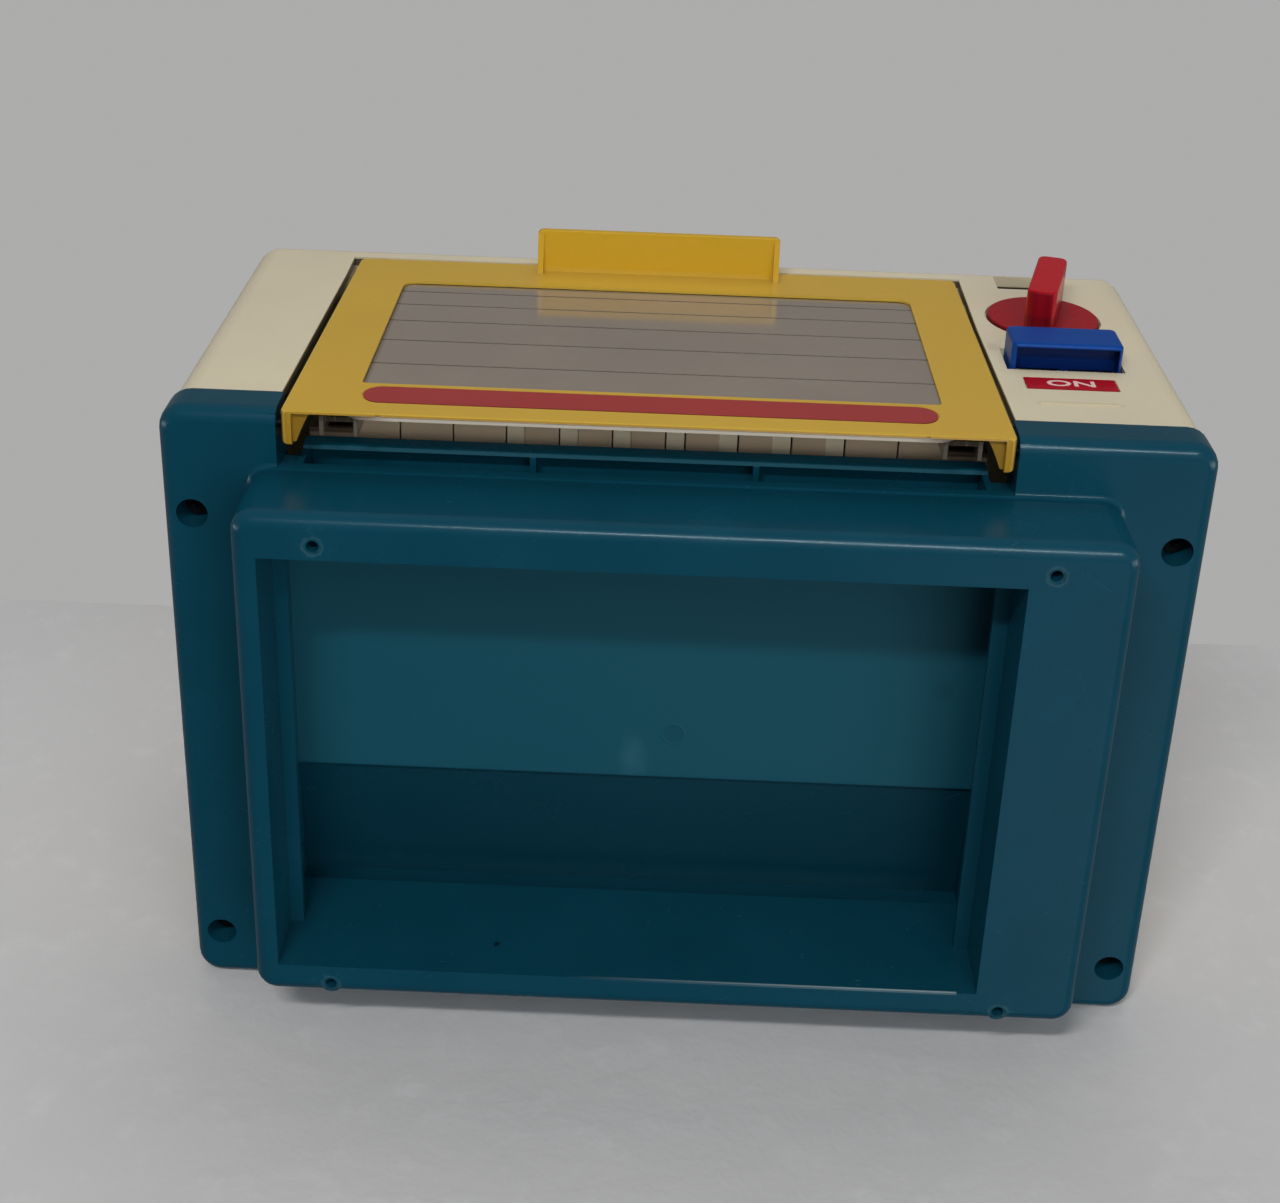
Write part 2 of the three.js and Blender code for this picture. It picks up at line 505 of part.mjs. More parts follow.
// spring strip above the door, with a rounded hump just over the door's top edge
piece(
  "door_catch",
  profile(
    [
      [-89.5, 158.1],
      [-87.3, 158.1],
      [-86.2, 156.1],
      [-84.4, 156.1],
      [-83.3, 158.1],
      [-79, 158.1],
      [-79, 158.7],
      [-83.65, 158.7],
      [-84.75, 156.7],
      [-85.85, 156.7],
      [-86.95, 158.7],
      [-89.5, 158.7],
    ],
    -21,
    -1,
  ),
  "steel",
);

// ---- timer knob and its ratchet ----
{
  const lathe = new THREE.LatheGeometry(
    [
      [0, 1.9],
      [KNOB.r, 1.9],
      [KNOB.r, 0.5],
      [KNOB.r - 0.5, 0],
      [0, 0],
    ].map(([r, y]) => new THREE.Vector2(r, y)).reverse(),
    48,
  ).translate(KNOB.x, KNOB.face, KNOB.z);
  let blade = panel(-4.7, 4.7, -17.9, 17.9, KNOB.blade, KNOB.face + 0.6, 2.6, 0.9, 3, 3);
  blade = blade.rotate([0, KNOB.turn, 0]).translate([KNOB.x, 0, KNOB.z]);
  let knob = add(
    solid(lathe),
    blade,
    rod("y", 3.8, KNOB.x, KNOB.z, KNOB.face + 1, -76.8),
    rod("y", 3, KNOB.x, KNOB.z, -77, -70.4, 16),
  );
  knob = cut(knob, rod("y", 1.4, KNOB.x, KNOB.z, -84, -69, 10));
  piece("knob", knob, "red");
}
{
  const s = new THREE.Shape();
  const teeth = 12;
  for (let i = 0; i < teeth * 4; i++) {
    const a = (i / (teeth * 4)) * Math.PI * 2;
    const r = [9, 8.75, 8.2, 8.75][i % 4];
    const p = [r * Math.cos(a), r * Math.sin(a)];
    i === 0 ? s.moveTo(...p) : s.lineTo(...p);
  }
  s.closePath();
  const g = new THREE.ExtrudeGeometry(s, { depth: 2.8, bevelEnabled: false });
  g.rotateX(Math.PI / 2).translate(KNOB.x, -70.7, KNOB.z);
  piece("ratchet_wheel", cut(solid(g), rod("y", 3.3, KNOB.x, KNOB.z, -76, -68, 18)), "white");
}
piece("knob_washer", cut(rod("y", 4.6, KNOB.x, KNOB.z, -70.1, -69.3, 18), rod("y", 1.6, KNOB.x, KNOB.z, -72, -68, 12)), "steel");
piece("knob_screw", add(rod("y", 2.6, KNOB.x, KNOB.z, -69, -67.2, 14), rod("y", 1.1, KNOB.x, KNOB.z, -80, -68.8, 10)), "steel");
{
  // leaf that presses towards the wheel and clicks in its notches
  const s = new THREE.Shape(
    [
      [KNOB.x + 11.6, KNOB.z - 13.5],
      [KNOB.x + 11.6, KNOB.z - 3],
      [KNOB.x + 9.5, KNOB.z],
      [KNOB.x + 11.6, KNOB.z + 3],
      [KNOB.x + 11.6, KNOB.z + 13.5],
      [KNOB.x + 12.2, KNOB.z + 13.5],
      [KNOB.x + 12.2, KNOB.z + 2.8],
      [KNOB.x + 10.3, KNOB.z],
      [KNOB.x + 12.2, KNOB.z - 2.8],
      [KNOB.x + 12.2, KNOB.z - 13.5],
    ].map(([x, z]) => new THREE.Vector2(x, z)),
  );
  const g = new THREE.ExtrudeGeometry(s, { depth: 2.8, bevelEnabled: false });
  piece("ratchet_spring", solid(g.rotateX(Math.PI / 2).translate(0, -70.7, 0)), "steel");
}
{
  const b = BRACKET;
  let plate = panel(b.x0, b.x1, b.z0, b.z1, b.y0, b.y1, 3);
  plate = add(
    plate,
    box(KNOB.x + 12.5, KNOB.x + 15, b.y1 - 0.5, -70.5, KNOB.z + 6.5, KNOB.z + 14.5),
    box(KNOB.x + 12.5, KNOB.x + 15, b.y1 - 0.5, -70.5, KNOB.z - 14.5, KNOB.z - 6.5),
    box(b.x0 + 3, b.x0 + 4.5, b.y1 - 0.5, -71.5, b.z0 + 12, b.z1 - 6),
    box(b.x1 - 3, b.x1 - 1.5, b.y1 - 0.5, -71.5, b.z0 + 6, b.z1 - 14),
  );
  plate = cut(
    plate,
    rod("y", 4.3, KNOB.x, KNOB.z, -80, -70),
    rod("y", 3.1, 115.9, 89.6, -80, -70, 16),
    rod("y", 1.9, 140.5, 141, -80, -70, 12),
    rod("y", 1.9, 104, 76, -80, -70, 12),
  );
  piece("mechanism_bracket", plate, "white");
}
for (const [name, x, z] of [["upper", 140.5, 141], ["lower", 104, 76]])
  piece("bracket_screw_" + name, add(rod("y", 3, x, z, b4(), b4() + 1.8, 14), rod("y", 1.2, x, z, -86, b4() + 0.2, 10)), "steel");
function b4() {
  return BRACKET.y1 + GAP;
}

// ---- push button ----
{
  const b = BUTTON;
  let cap = panel(b.x0, b.x1, b.z0, b.z1, b.face, -84, 2, 1.1, 3, 4);
  cap = cut(
    cap,
    box(b.x0 - 5, b.x1 + 5, -86.2, -80, b.z0 - 5, b.z1 + 5),
    box(b.x0 + 1.8, b.x1 - 1.8, -90, -80, b.z0 + 1.8, b.z1 - 1.8), // hollow at the back
    box(b.x0 + 1.6, b.x1 - 1.2, b.face + 1.4, -80, b.z0 - 5, b.z0 + 5), // open underside
  );
  cap = add(cap, rod("y", 2.6, 115.9, 89.6, -91, -70.4, 16));
  cap = cut(cap, cut(rod("y", 3.5, 115.9, 89.6, -73.6, -72.6, 16), rod("y", 2, 115.9, 89.6, -75, -71, 14)));
  piece("button_cap", cap, "blue");
  piece(
    "button_retainer",
    cut(rod("y", 4.6, 115.9, 89.6, -73.45, -72.75, 18), rod("y", 2.3, 115.9, 89.6, -75, -71, 14), box(114.2, 117.6, -75, -71, 80, 89.6)),
    "steel",
  );
  // return spring round the stem
  const turns = 4.5, radius = 4.4, wire = 0.4, y0 = -89.2, y1 = -76.9;
  class Coil extends THREE.Curve {
    getPoint(t, target = new THREE.Vector3()) {
      const a = t * turns * Math.PI * 2;
      return target.set(115.9 + radius * Math.cos(a), y0 + (y1 - y0) * t, 89.6 + radius * Math.sin(a));
    }
  }
  const section = new THREE.Shape();
  section.absarc(0, 0, wire, 0, Math.PI * 2);
  piece(
    "button_spring",
    solid(new THREE.ExtrudeGeometry(section, { steps: 56, curveSegments: 3, extrudePath: new Coil(), bevelEnabled: false })),
    "steel",
  );
}
piece("label_plate", box(LABEL.x0, LABEL.x1, SHELL.y0 - 0.1, SHELL.y0 + 0.3, LABEL.z0, LABEL.z1), "red");

// ---- base screws, up through the wells ----
for (const [name, x, y] of [
  ["front_left", -WELL.x, WELL.y0],
  ["front_right", WELL.x, WELL.y0],
  ["rear_left", -WELL.x, WELL.y1],
  ["rear_right", WELL.x, WELL.y1],
])
  piece(
    "base_screw_" + name,
    cut(
      add(rod("z", 3.6, x, y, 35.6, 37.7, 16), rod("z", 1.5, x, y, 37.5, 55, 10)),
      box(x - 2, x + 2, y - 0.35, y + 0.35, 34, 36.6),
      box(x - 0.35, x + 0.35, y - 2, y + 2, 34, 36.6),
    ),
    "black",
  );

export default group;
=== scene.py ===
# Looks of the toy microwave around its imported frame. Metres, +X to the right, -Y front, +Z up.
import bpy, bmesh, math
from mathutils import Matrix, Vector


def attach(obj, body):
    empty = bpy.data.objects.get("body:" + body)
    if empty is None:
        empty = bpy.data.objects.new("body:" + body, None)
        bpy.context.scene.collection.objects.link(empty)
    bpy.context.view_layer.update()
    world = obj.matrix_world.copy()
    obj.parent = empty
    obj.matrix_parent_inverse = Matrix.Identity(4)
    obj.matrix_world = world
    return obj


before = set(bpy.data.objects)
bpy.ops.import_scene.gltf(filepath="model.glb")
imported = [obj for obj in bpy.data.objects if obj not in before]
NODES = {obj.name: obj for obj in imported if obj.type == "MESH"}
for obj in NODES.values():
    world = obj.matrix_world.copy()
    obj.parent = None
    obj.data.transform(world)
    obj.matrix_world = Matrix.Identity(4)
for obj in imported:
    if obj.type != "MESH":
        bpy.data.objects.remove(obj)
SC = bpy.context.scene
MM = 0.001
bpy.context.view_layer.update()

# ------------------------------------------------------------------ camera
F_PX = 1884.74
CAM = (-7.970 * MM, -313.173 * MM, -449.835 * MM)
RIGHT = Vector((0.9991811, -0.0311595, 0.0258107))
DOWN = Vector((0.0388831, 0.9158882, -0.3995459))
AHEAD = Vector((-0.0111901, 0.4002223, 0.9163498))
cam_data = bpy.data.cameras.new("camera")
cam = bpy.data.objects.new("camera", cam_data)
SC.collection.objects.link(cam)
cam_data.sensor_width = 36.0
cam_data.lens = F_PX / 1280 * 36.0
cam_data.shift_y = -215 / 1280
cam_data.clip_start, cam_data.clip_end = 0.01, 20
cam.matrix_world = Matrix((
    (RIGHT.x, -DOWN.x, -AHEAD.x, CAM[0]),
    (RIGHT.y, -DOWN.y, -AHEAD.y, CAM[1]),
    (RIGHT.z, -DOWN.z, -AHEAD.z, CAM[2]),
    (0, 0, 0, 1)))
SC.camera = cam
SC.view_settings.view_transform = "Standard"
SC.view_settings.look = "None"

# ------------------------------------------------------------------ node helpers
def srgb(r, g, b):
    def f(c):
        c /= 255
        return c / 12.92 if c <= 0.04045 else ((c + 0.055) / 1.055) ** 2.4
    return (f(r), f(g), f(b), 1.0)


class Mat:
    """A material with a Principled shader, and short helpers that add nodes to it."""

    def __init__(self, name, rough=0.4, metal=0.0, ior=1.5, spec=0.5, coat=0.0, coat_rough=0.1, trans=0.0, alpha=1.0, color=None):
        self.m = bpy.data.materials.new(name)
        self.m.use_nodes = True
        self.t = self.m.node_tree
        self.b = self.t.nodes["Principled BSDF"]
        i = self.b.inputs
        i["Roughness"].default_value = rough
        i["Metallic"].default_value = metal
        i["IOR"].default_value = ior
        i["Specular IOR Level"].default_value = spec
        i["Coat Weight"].default_value = coat
        i["Coat Roughness"].default_value = coat_rough
        i["Transmission Weight"].default_value = trans
        i["Alpha"].default_value = alpha
        if color:
            i["Base Color"].default_value = color
        self.coord = self.t.nodes.new("ShaderNodeTexCoord").outputs["Object"]

    def node(self, kind, **inputs):
        n = self.t.nodes.new(kind)
        for k, v in inputs.items():
            key = k.replace("_", " ")
            if isinstance(v, bpy.types.NodeSocket):
                self.t.links.new(v, n.inputs[key])
            else:
                n.inputs[key].default_value = v
        return n

    def scaled(self, sx, sy, sz, vector=None):
        n = self.t.nodes.new("ShaderNodeMapping")
        n.inputs["Scale"].default_value = (sx, sy, sz)
        self.t.links.new(vector or self.coord, n.inputs["Vector"])
        return n.outputs["Vector"]

    def noise(self, scale, detail=3.0, rough=0.5, vector=None, distortion=0.0):
        n = self.t.nodes.new("ShaderNodeTexNoise")
        n.inputs["Scale"].default_value = scale
        n.inputs["Detail"].default_value = detail
        n.inputs["Roughness"].default_value = rough
        n.inputs["Distortion"].default_value = distortion
        self.t.links.new(vector or self.coord, n.inputs["Vector"])
        return n.outputs["Fac"]

    def ramp(self, fac, lo, hi, a=0.0, b=1.0):
        n = self.t.nodes.new("ShaderNodeMapRange")
        n.clamp = True
        for k, v in (("From Min", lo), ("From Max", hi), ("To Min", a), ("To Max", b)):
            n.inputs[k].default_value = v
        self.t.links.new(fac, n.inputs["Value"])
        return n.outputs["Result"]

    def mix(self, fac, a, b):
        n = self.t.nodes.new("ShaderNodeMix")
        n.data_type = "RGBA"
        ins = [s for s in n.inputs if s.enabled or True]
        fac_in = n.inputs[0]
        a_in = [s for s in n.inputs if s.identifier == "A_Color"][0]
        b_in = [s for s in n.inputs if s.identifier == "B_Color"][0]
        out = [s for s in n.outputs if s.identifier == "Result_Color"][0]
        for s, v in ((fac_in, fac), (a_in, a), (b_in, b)):
            if isinstance(v, bpy.types.NodeSocket):
                self.t.links.new(v, s)
            else:
                s.default_value = v
        return out

    def math(self, op, a, b=0.0):
        n = self.t.nodes.new("ShaderNodeMath")
        n.operation = op
        for k, v in ((0, a), (1, b)):
            if isinstance(v, bpy.types.NodeSocket):
                self.t.links.new(v, n.inputs[k])
            else:
                n.inputs[k].default_value = v
        return n.outputs[0]

    def link(self, out, socket):
        self.t.links.new(out, self.b.inputs[socket])

    def bump(self, height, distance, strength=1.0, under=None):
        n = self.t.nodes.new("ShaderNodeBump")
        n.inputs["Strength"].default_value = strength
        n.inputs["Distance"].default_value = distance
        self.t.links.new(height, n.inputs["Height"])
        if under is not None:
            self.t.links.new(under, n.inputs["Normal"])
        return n.outputs["Normal"]


def tint(c, k):
    return (min(c[0] * k, 1), min(c[1] * k, 1), min(c[2] * k, 1), 1)


class Face:
    """Layers that build up one plastic surface: colour, roughness and relief."""

    def __init__(self, name, color, rough=0.35, mottle=0.06, grain=1.0, wave=1.0, scratch=0.5, specks=0.2,
                 dirt=(0.05, 0.045, 0.04, 1), pale=None, **kw):
        m = self.m = Mat(name, rough=rough, **kw)
        self.pale = pale or tuple(min(1, 0.4 + 0.6 * v) for v in color[:3]) + (1,)
        self.dirt = dirt
        slow = m.noise(26, 4, 0.55)
        c = m.mix(m.ramp(slow, 0.3, 0.7), tint(color, 1 - mottle), tint(color, 1 + mottle))
        fine = m.noise(950, 2, 0.6)
        c = m.mix(m.ramp(fine, 0.3, 0.75, 0, 0.18), c, tint(color, 0.82))
        # hairline scratches: stretched noises at three slants, broken up by a slower one
        hair = None
        for k, (ax, stretch) in enumerate((((0, 0, 0.45), (14, 900, 900)), ((0, 0.3, 1.9), (900, 17, 900)), ((0.4, 0.2, 1.1), (1100, 20, 1100)))):
            rot = m.t.nodes.new("ShaderNodeMapping")
            rot.inputs["Rotation"].default_value = ax
            rot.inputs["Location"].default_value = (0.013 * k, 0.007 * k, 0.003 * k)
            m.t.links.new(m.coord, rot.inputs["Vector"])
            n = m.ramp(m.noise(1.0, 2, 0.5, m.scaled(*stretch, vector=rot.outputs["Vector"])), 0.735, 0.77)
            hair = n if hair is None else m.math("MAXIMUM", hair, n)
        hair = m.math("MULTIPLY", hair, m.ramp(m.noise(60, 2, 0.5), 0.5, 0.62))
        self.hair = hair
        c = m.mix(m.math("MULTIPLY", hair, 0.16 * scratch), c, self.pale)
        c = m.mix(m.ramp(m.noise(420, 1, 0.4), 0.79, 0.81, 0, 0.4 * specks), c, self.pale)
        c = m.mix(m.ramp(m.noise(260, 1, 0.4, m.scaled(1, 1.3, 0.8)), 0.8, 0.82, 0, 0.5 * specks), c, dirt)
        self.color = c
        self.rough = m.math("ADD", m.ramp(slow, 0.25, 0.75, rough - 0.04, rough + 0.05), m.math("MULTIPLY", hair, 0.12))
        n = m.bump(m.noise(16, 2, 0.5), 0.0010 * wave, 0.3) if wave else None
        n = m.bump(m.noise(2600, 2, 0.5), 0.00003 * grain, 0.45, n) if grain else n
        self.normal = m.bump(hair, 0.00002, 0.4 * scratch, n)

    def distance(self, point, flat=(1, 1, 1)):
        """How far the surface is from a point, in metres, with some axes left out."""
        m = self.m
        v = m.t.nodes.new("ShaderNodeVectorMath")
        v.operation = "MULTIPLY"
        v.inputs[1].default_value = flat
        m.t.links.new(m.coord, v.inputs[0])
        d = m.t.nodes.new("ShaderNodeVectorMath")
        d.operation = "DISTANCE"
        m.t.links.new(v.outputs["Vector"], d.inputs[0])
        d.inputs[1].default_value = [a * b for a, b in zip(point, flat)]
        return d.outputs["Value"]

    def side(self, axis):
        """The surface's place along an axis, in metres."""
        m = self.m
        if not hasattr(self, "xyz"):
            self.xyz = m.t.nodes.new("ShaderNodeSeparateXYZ")
            m.t.links.new(m.coord, self.xyz.inputs[0])
        return self.xyz.outputs["XYZ".index(axis)]

    def within(self, axis, lo, hi, soft=0.0002):
        """1 where the surface lies between lo and hi along an axis, 0 elsewhere."""
        m = self.m
        s = self.side(axis)
        return m.math("MULTIPLY", m.ramp(s, lo - soft, lo + soft), m.ramp(s, hi - soft, hi + soft, 1, 0))

    def paint(self, fac, color):
        self.color = self.m.mix(fac, self.color, color)

    def relief(self, height, distance, strength=0.6):
        self.normal = self.m.bump(height, distance, strength, self.normal)

    def done(self):
        self.m.link(self.color, "Base Color")
        self.m.link(self.rough, "Roughness")
        self.m.link(self.normal, "Normal")
        return self.m.m


def plastic(name, color, **kw):
    return Face(name, color, **kw).done()


# ------------------------------------------------------------------ materials
TEAL = srgb(9, 66, 85)
M = {}


def teal():
    f = Face("teal plastic", TEAL, rough=0.25, mottle=0.08, grain=0.6, wave=0.7, scratch=0.6, specks=0.12, pale=srgb(90, 140, 150), spec=0.3)
    m = f.m
    # the recess's ceiling is duller and painted a little paler than the walls as painted light, and the sloping band
    # behind it is painted darker as painted shade
    ceiling = m.math("MULTIPLY", f.within("Z", 0.0415, 0.0436, 0.0002), f.within("Y", -0.0605, 0.0347, 0.0004))
    f.paint(m.math("MULTIPLY", ceiling, 0.9), srgb(22, 80, 97))
    f.rough = m.math("ADD", f.rough, m.math("MULTIPLY", ceiling, 0.22))
    band = m.math("MULTIPLY", f.within("Z", 0.0439, 0.0515, 0.0002), f.within("Y", 0.035, 0.081, 0.0004))
    f.paint(m.math("MULTIPLY", band, 0.8), srgb(6, 50, 65))
    low = f.within("Z", -0.001, 0.0012, 0.0003)
    # the ledge under the door: its front painted paler as painted light, and a painted highlight along its lip
    ledge = m.math("MULTIPLY", f.within("X", -0.1112, 0.0876, 0.0002), f.within("Y", -0.0765, -0.0745, 0.0001))
    f.paint(m.math("MULTIPLY", m.math("MULTIPLY", ledge, f.within("Z", 0.0418, 0.0485, 0.0001)), 0.8), srgb(20, 104, 130))
    f.paint(m.math("MULTIPLY", m.math("MULTIPLY", ledge, f.within("Z", 0.0412, 0.0419, 0.0001)), 0.18), srgb(90, 150, 166))
    # the recess's rear edge has a painted highlight, brighter towards the right
    painted_highlight_line = m.math("MULTIPLY", f.within("Y", 0.0779, 0.0793, 0.0001), f.within("Z", 0.00005, 0.0007, 0.0001))
    f.paint(m.math("MULTIPLY", m.math("MULTIPLY", painted_highlight_line, m.ramp(f.side("X"), -0.03, 0.06, 0, 0.6)), f.within("X", -0.1, 0.088)), srgb(190, 212, 218))
    # pale rings round the four cover-screw holes are painted highlight on their rims, and rubbed scuffs lie beside them
    for i, (x, y) in enumerate(((-0.1012, -0.0653), (0.1012, -0.0653), (-0.1012, 0.0853), (0.1012, 0.0853))):
        d = f.distance((x, y, 0), (1, 1, 0))
        wobble = m.math("ADD", d, m.ramp(m.noise(700, 3, 0.6), 0.2, 0.8, -0.0007, 0.0007))
        ring = m.math("MULTIPLY", m.ramp(wobble, 0.0021, 0.0025), m.ramp(wobble, 0.0028, 0.0034, 1, 0))
        f.paint(m.math("MULTIPLY", m.math("MULTIPLY", ring, low), 0.3), srgb(74, 112, 122))
        rub = m.math("MULTIPLY", m.ramp(d, 0.0022, 0.0075, 1, 0), m.ramp(m.noise(420, 3, 0.7), 0.52, 0.66))
        f.paint(m.math("MULTIPLY", m.math("MULTIPLY", rub, low), 0.28), srgb(58, 104, 116) if i != 1 else srgb(24, 44, 52))
    # gate mark in the middle of the recess, a rubbed spot beside it, a dark speck on the rear wall
    roof = f.within("Z", 0.0415, 0.0432, 0.0002)
    d = f.distance((-0.0001, 0.019, 0), (1, 1, 0))
    mark = m.math("MULTIPLY", m.math("MULTIPLY", m.ramp(d, 0.0029, 0.0034), m.ramp(d, 0.0036, 0.0041, 1, 0)), roof)
    f.relief(mark, 0.00016, 0.6)
    f.paint(m.math("MULTIPLY", m.math("MULTIPLY", m.ramp(d, 0.003, 0.0036, 1, 0), roof), 0.25), srgb(14, 56, 70))
    d = f.distance((-0.0123, 0.0282, 0), (1, 0.6, 0))
    f.paint(m.math("MULTIPLY", m.math("MULTIPLY", m.ramp(m.math("ADD", d, m.ramp(m.noise(300, 3, 0.6), 0.2, 0.8, -0.0015, 0.0015)), 0.001, 0.0055, 1, 0), roof), 0.2), srgb(70, 120, 132))
    d = f.distance((0.0822, -0.0009, 0), (1, 1, 0))
    f.paint(m.math("MULTIPLY", m.math("MULTIPLY", m.ramp(m.math("ADD", d, m.ramp(m.noise(260, 3, 0.6), 0.2, 0.8, -0.002, 0.002)), 0.001, 0.004, 1, 0), roof), 0.22), srgb(6, 36, 48))
    d = f.distance((-0.0521, 0.0787, 0.0133))
    f.paint(m.math("MULTIPLY", m.ramp(m.math("ADD", d, m.ramp(m.noise(900, 3, 0.6), 0.2, 0.8, -0.0006, 0.0006)), 0.0007, 0.0013, 1, 0), 0.8), srgb(4, 16, 22))
    d = f.distance((-0.0193, 0.0787, 0.0687), (1, 0, 1))
    # a little grey dust in the inner corners of the recess
    f.paint(m.math("MULTIPLY", m.math("MULTIPLY", m.ramp(m.noise(140, 4, 0.7), 0.5, 0.75), f.within("Y", 0.072, 0.0792, 0.003)), 0.1), srgb(60, 84, 92))
    return f.done()


def liner():
    f = Face("liner plastic", srgb(202, 182, 156), rough=0.5, mottle=0.08, scratch=0.4, specks=0.3, spec=0.3)
    m = f.m
    apron = f.within("Y", -0.081, -0.0685, 0.0004)
    # the wide shallow bands in the apron's middle are paler, and its narrow grooves are painted dark as painted shade
    f.paint(m.math("MULTIPLY", f.within("Z", 0.0563, 0.0568, 0.00008), apron), srgb(228, 216, 190))
    f.paint(m.math("MULTIPLY", m.math("MULTIPLY", f.within("Z", 0.0569, 0.05745, 0.00008), apron), 0.9), srgb(26, 20, 15))
    # both ends of the apron, outside its outermost grooves, are painted dark
    ends = m.math("SUBTRACT", 1.0, f.within("X", -0.0971, 0.0757, 0.0002))
    f.paint(m.math("MULTIPLY", m.math("MULTIPLY", ends, f.within("Y", -0.081, -0.0735, 0.0003)), 0.85), srgb(56, 44, 33))
    # the cavity behind the apron is painted darker, as painted shade
    f.paint(m.math("MULTIPLY", f.within("Y", -0.0698, 0.095, 0.0004), 0.55), srgb(96, 84, 70))
    return f.done()


def clear():
    f = Face("clear plastic", srgb(76, 66, 55), rough=0.16, mottle=0.05, scratch=0.3, specks=0.3, trans=0.35)
    m = f.m
    # painted highlight: pale bands down the clips' side walls
    for lo, hi in ((-0.1041, -0.1027), (-0.0943, -0.0929), (0.0719, 0.0733), (0.0817, 0.0831)):
        f.paint(m.math("MULTIPLY", f.within("X", lo, hi, 0.0001), 0.4), srgb(140, 132, 118))
    streak = m.ramp(m.noise(1.0, 2, 0.5, m.scaled(900, 30, 30)), 0.55, 0.7)
    f.paint(m.math("MULTIPLY", streak, 0.25), srgb(150, 140, 124))
    return f.done()


def pane():
    f = Face("smoked pane", srgb(142, 131, 119), rough=0.13, mottle=0.05, grain=0.0, wave=0.12, scratch=0.4, specks=0.3, coat=1.0, coat_rough=0.08)
    m = f.m
    # the cut lower edge catches the light, less so towards its two ends
    f.paint(m.math("MULTIPLY", f.within("Z", 0.027, 0.02835, 0.0001), f.within("X", -0.0865, 0.0665, 0.0035)), srgb(196, 188, 174))
    # dirt in the fine lines across the pane
    front = f.within("Y", -0.0924, -0.0914, 0.0001)
    for z in (0.0665, 0.085, 0.1013, 0.1154, 0.127):
        f.paint(m.math("MULTIPLY", m.math("MULTIPLY", f.within("Z", z - 0.00032, z + 0.00032, 0.00012), front), 0.75), srgb(48, 40, 32))
    # the frame shades the pane along the window's left and upper edges
    left = m.ramp(m.math("ADD", f.side("X"), m.math("MULTIPLY", f.side("Z"), -0.0083)), -0.09515, -0.0936, 1, 0)
    top = m.ramp(f.side("Z"), 0.1318, 0.134)
    shade = m.math("MULTIPLY", m.math("MAXIMUM", left, top), f.within("Z", 0.0488, 0.2))
    f.paint(m.math("MULTIPLY", shade, 0.75), srgb(44, 34, 24))
    return f.done()


def yellow():
    f = Face("yellow plastic", srgb(205, 167, 58), rough=0.3, dirt=srgb(110, 80, 20), mottle=0.03, scratch=0.5, specks=0.2)
    m = f.m
    # the lower edge and the two hinge corners are painted darker than the face as painted shade, and the corners'
    # insides painted darker still
    edge = f.within("Z", 0.0, 0.0278, 0.0001)
    f.paint(m.math("MULTIPLY", edge, 0.75), srgb(150, 112, 26))
    inside = m.math("MULTIPLY", f.within("Z", 0.0282, 0.047, 0.0004), f.within("Y", -0.0925, -0.08, 0.0001))
    f.paint(m.math("MULTIPLY", inside, 0.7), srgb(104, 70, 14))
    # the handle is a purer yellow than the door's face
    f.paint(m.math("MULTIPLY", f.within("Y", -0.12, -0.0945, 0.0004), 0.8), srgb(208, 164, 28))
    # a thin painted highlight along the side edges
    painted_highlight_line = m.math("MAXIMUM", m.ramp(m.math("ADD", f.side("X"), m.math("MULTIPLY", f.side("Z"), -0.0212)), -0.1148, -0.1144, 1, 0),
                  m.ramp(m.math("ADD", f.side("X"), m.math("MULTIPLY", f.side("Z"), 0.0149)), 0.0921, 0.0925))
    f.paint(m.math("MULTIPLY", m.math("MULTIPLY", painted_highlight_line, f.within("Y", -0.0932, -0.0916)), 0.55), srgb(232, 214, 150))
    return f.done()


def cream():
    f = Face("cream plastic", srgb(221, 211, 184), rough=0.36, dirt=srgb(120, 100, 70), mottle=0.03, scratch=0.5, specks=0.2)
    m = f.m
    across = f.within("X", 0.1044, 0.1246, 0.0001)
    # painted shade: a dark band in the groove at the back of the display pocket
    groove = m.math("MULTIPLY", m.math("MULTIPLY", f.within("Y", -0.0881, -0.0826, 0.0002), f.within("Z", 0.151, 0.167)), across)
    f.paint(m.math("MULTIPLY", groove, 0.93), srgb(34, 22, 16))
    # painted shade: a dark line round the inside of the door opening's edge
    mouth = m.math("MULTIPLY", f.within("Y", -0.0911, -0.0886, 0.0001), f.within("X", -0.1185, 0.0955, 0.0002))
    f.paint(m.math("MULTIPLY", m.math("MULTIPLY", mouth, f.within("Z", 0.03, 0.161)), 0.88), srgb(38, 28, 18))
    # faint grey rub beside the button, and the raised line below the label painted darker as painted shade
    d = f.distance((0.0957, 0, 0.0985), (1, 0, 0.6))
    f.paint(m.math("MULTIPLY", m.ramp(m.math("ADD", d, m.ramp(m.noise(400, 3, 0.6), 0.2, 0.8, -0.001, 0.001)), 0.0008, 0.003, 1, 0), 0.3), srgb(150, 146, 124))
    line = m.math("MULTIPLY", m.math("MULTIPLY", f.within("Z", 0.0558, 0.0573), f.within("X", 0.102, 0.128)), f.within("Y", -0.0925, -0.0915))
    f.paint(m.math("MULTIPLY", line, 0.5), srgb(196, 184, 152))
    return f.done()


def blue():
    f = Face("blue plastic", srgb(10, 66, 146), rough=0.3, mottle=0.08, specks=0.2, spec=0.15, scratch=0.9, pale=srgb(90, 140, 190))
    m = f.m
    # painted shade: the hollow under the cap is painted dark navy
    hollow = m.math("MULTIPLY", m.math("MULTIPLY", f.within("X", 0.0996, 0.1312, 0.0001), f.within("Y", -0.0989, -0.08, 0.0001)), f.within("Z", 0.0818, 0.0885, 0.0001))
    f.paint(m.math("MULTIPLY", hollow, 0.85), srgb(6, 24, 74))
    return f.done()


